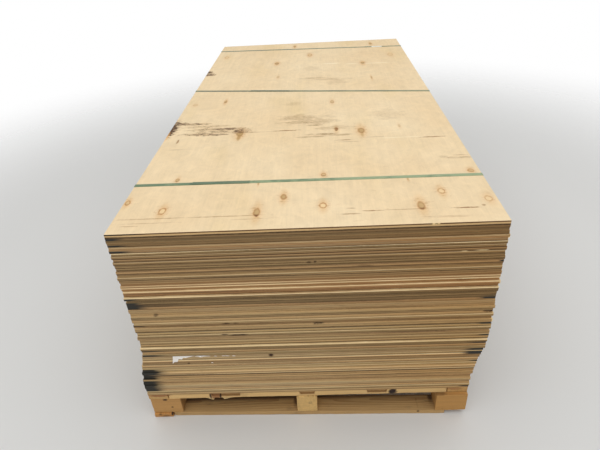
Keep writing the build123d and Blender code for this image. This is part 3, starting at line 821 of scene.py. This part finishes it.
# Straps: three flat polyester bands, embossed on both faces, drawn tight round the sheets
# and the pallet's side boards. Each band has its clean and its dusty colour, a stretch from left
# to right in a colour of its own, and that colour and its strength: on the near and middle
# straps the stretch where the two layers overlap, on the far strap a near-white patch
STRAPS = {"near_strap": ((84, 112, 76), (144, 160, 122), (-0.39, -0.17), (46, 78, 52), 0.6),
          "middle_strap": ((66, 84, 58), (126, 132, 98), (-0.285, -0.075), (46, 78, 52), 0.7),
          "far_strap": ((78, 96, 72), (130, 134, 104), (0.460, 0.530), (226, 228, 218), 0.97)}
EMBOSSED_PER_METRE = 420.0
for name, (clean, dusty, (start, stop), other, strength) in STRAPS.items():
    band, tree, shader = new_material(name.replace("_", " "))
    place = put(tree, "TexCoord").outputs["Object"]
    emboss = put(tree, "TexChecker", {"Vector": place, "Scale": EMBOSSED_PER_METRE}).outputs[1]
    at_x = put(tree, "SeparateXYZ", {0: place}).outputs[0]
    dust = weighed(tree, noise(tree, place, (14, 30, 14), 4.0, 0.65), (at_x, 0.22))
    worn = step_between(tree, noise(tree, place, (9, 260, 260), 3.0, 0.6), 0.5, 0.75, 0.0, 0.3)
    patch = times(tree, calc(tree, "GREATER_THAN", at_x, start), calc(tree, "LESS_THAN", at_x, stop))
    colour = blend(tree, step_between(tree, dust, 0.32, 0.68), linear(*clean), linear(*dusty))
    colour = coats(tree, colour, (worn, 1.0, (184, 188, 152)), (patch, strength, other))
    surface(tree, shader, colour, weighed(tree, 0.34, (dust, 0.25)), emboss, depth=0.00015)
    shader.inputs["Specular IOR Level"].default_value = 0.45
    nodes[name].data.materials.clear()
    nodes[name].data.materials.append(band)

# Paper scrap: a torn remnant, blank and white, still stuck to the edges by its glue. Slow
# creases and a fine pulp give it its relief.
paper, tree, shader = new_material("paper")
place = put(tree, "TexCoord").outputs["Object"]
crease = noise(tree, place, (60, 60, 90), 4.0, 0.6)
pulp = noise(tree, place, (1500, 1500, 1500))
colour = blend(tree, crease, linear(236, 228, 218), linear(252, 249, 244))
height = weighed(tree, 0.0, (crease, 0.8), (pulp, 0.2))
surface(tree, shader, colour, weighed(tree, 0.6, (pulp, 0.2)), height)
nodes["paper_scrap"].data.materials.clear()
nodes["paper_scrap"].data.materials.append(paper)

# Shreds of the same paper beside the scrap, each a thin strip whose height runs up and down
# with noise and dies out at its ends: from here to there across, height and half thickness
SHREDS = ((-0.402, -0.343, 0.3478, 0.0019), (-0.388, -0.372, 0.3440, 0.0012),
          (-0.302, -0.272, 0.3462, 0.0011), (-0.330, -0.318, 0.3460, 0.0008),
          (-0.262, -0.250, 0.3450, 0.0014), (-0.345, -0.338, 0.3120, 0.0016))
front_of_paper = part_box("paper_scrap")[0][1]
shreds = []
for number, (start, stop, level, tall) in enumerate(SHREDS):
    along = np.linspace(0, 1, 15)
    waves = lattice_noise(np.stack([along * 9, 0 * along, 0 * along], -1), 1.0, 90 + number)
    spread = tall * np.sin(np.pi * along) ** 0.5 * (1 + 0.45 * waves) + 0.00005
    x = start + (stop - start) * along
    curl = 0.0012 * along ** 2
    loops = [np.stack([x, front_of_paper + out - curl, level + up * spread], -1)
             for out, up in ((0.0, -1), (0.0, 1), (0.0004, 1), (0.0004, -1))]
    shreds.append(closed_tube(np.stack(loops, 1)))
offsets = np.cumsum([0] + [len(points) for points, _, _ in shreds])
remains = mesh_piece("paper_shreds", np.vstack([points for points, _, _ in shreds]),
                     np.vstack([quads + offset for (_, quads, _), offset in zip(shreds, offsets)]),
                     np.vstack([fans + offset for (_, _, fans), offset in zip(shreds, offsets)]))
remains.data.materials.append(paper)
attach(remains, "root")

# Floor: a plain pale plane just under the pallet. It is solid near the pack and fades out
# further off, so that the white background shows all round.
FLOOR_HALF, FLOOR_GAP = 40, 0.0005
CLEAR_FROM, CLEAR_BY = 1.8, 4.6
floor_mesh = bpy.data.meshes.new("floor")
corners = [(-1, -1, 0), (1, -1, 0), (1, 1, 0), (-1, 1, 0)]
floor_mesh.from_pydata((np.array(corners) * FLOOR_HALF).tolist(), [], [(0, 1, 2, 3)])
floor = bpy.data.objects.new("floor", floor_mesh)
bpy.context.scene.collection.objects.link(floor)
floor.location.z = -FLOOR_GAP
floor_look, tree, shader = new_material("floor")
shader.inputs["Base Color"].default_value = linear(222, 222, 220)
shader.inputs["Roughness"].default_value = 0.9
out_from_middle = vector_calc(tree, "LENGTH", put(tree, "TexCoord").outputs["Object"], result=1)
far_out = step_between(tree, out_from_middle, CLEAR_FROM, CLEAR_BY)
clear = put(tree, "BsdfTransparent")
faded = put(tree, "MixShader", {0: far_out, 1: shader.outputs[0], 2: clear.outputs[0]})
plug(tree, tree.nodes["Material Output"], {0: faded.outputs[0]})
floor_mesh.materials.append(floor_look)

# Light: a white room, dimmer for what it lights than for what is seen of it, a broad soft
# lamp overhead and a smaller one low in front of the near end.
ROOM_LIGHT = 0.36
world = bpy.data.worlds.new("room")
bpy.context.scene.world = world
world.use_nodes = True
tree = world.node_tree
tree.nodes.clear()
rays = put(tree, "LightPath").outputs
seen = rays["Is Camera Ray"]
for kind in ("Is Glossy Ray", "Is Transmission Ray"):
    seen = calc(tree, "MAXIMUM", seen, rays[kind])
strength = put(tree, "MapRange", {0: seen, 1: 0.0, 2: 1.0, 3: ROOM_LIGHT, 4: 1.0}).outputs[0]
background = put(tree, "Background", {"Color": (1, 1, 1, 1), "Strength": strength})
put(tree, "OutputWorld", {0: background.outputs[0]})
for name, size, watts, place, tilt in (("overhead", 9.0, 270.0, (0.5, -0.9, 5.0), 0),
                                       ("front", 3.0, 54.0, (-0.9, -6.0, 2.2), 72)):
    lamp_data = bpy.data.lights.new(name, "AREA")
    lamp_data.shape = "SQUARE"
    lamp_data.size = size
    lamp_data.energy = watts
    lamp = bpy.data.objects.new(name, lamp_data)
    lamp.location = place
    lamp.rotation_euler = (math.radians(tilt), 0.0, 0.0)
    bpy.context.scene.collection.objects.link(lamp)

# Camera: where the photo was taken from. Its place is in metres, its angles in degrees, and
# its focal length and the shift of the picture's middle in pixels of the picture's width.
PICTURE_WIDTH, SENSOR = 600, 36.0
FOCAL_LENGTH, SHIFT_X, SHIFT_Y = 494.0, -8.8, 9.4
STAND = (0.095, -2.521, 1.704)
YAW, PITCH, ROLL = (math.radians(angle) for angle in (-2.26, 33.32, -3.27))
camera_data = bpy.data.cameras.new("camera")
camera = bpy.data.objects.new("camera", camera_data)
bpy.context.scene.collection.objects.link(camera)
bpy.context.scene.camera = camera
camera_data.sensor_width = SENSOR
camera_data.lens = FOCAL_LENGTH / PICTURE_WIDTH * SENSOR
camera_data.shift_x = SHIFT_X / PICTURE_WIDTH
camera_data.shift_y = SHIFT_Y / PICTURE_WIDTH
ahead = np.array([math.sin(YAW) * math.cos(PITCH), math.cos(YAW) * math.cos(PITCH), -math.sin(PITCH)])
level = np.array([math.cos(YAW), -math.sin(YAW), 0.0])
above = np.cross(level, ahead)
right = math.cos(ROLL) * level + math.sin(ROLL) * above
up = -math.sin(ROLL) * level + math.cos(ROLL) * above
pose = np.eye(4)
pose[:3, 0], pose[:3, 1], pose[:3, 2], pose[:3, 3] = right, up, -ahead, STAND
camera.matrix_world = Matrix(pose.tolist())

bpy.context.scene.view_settings.view_transform = "Standard"
bpy.context.view_layer.update()
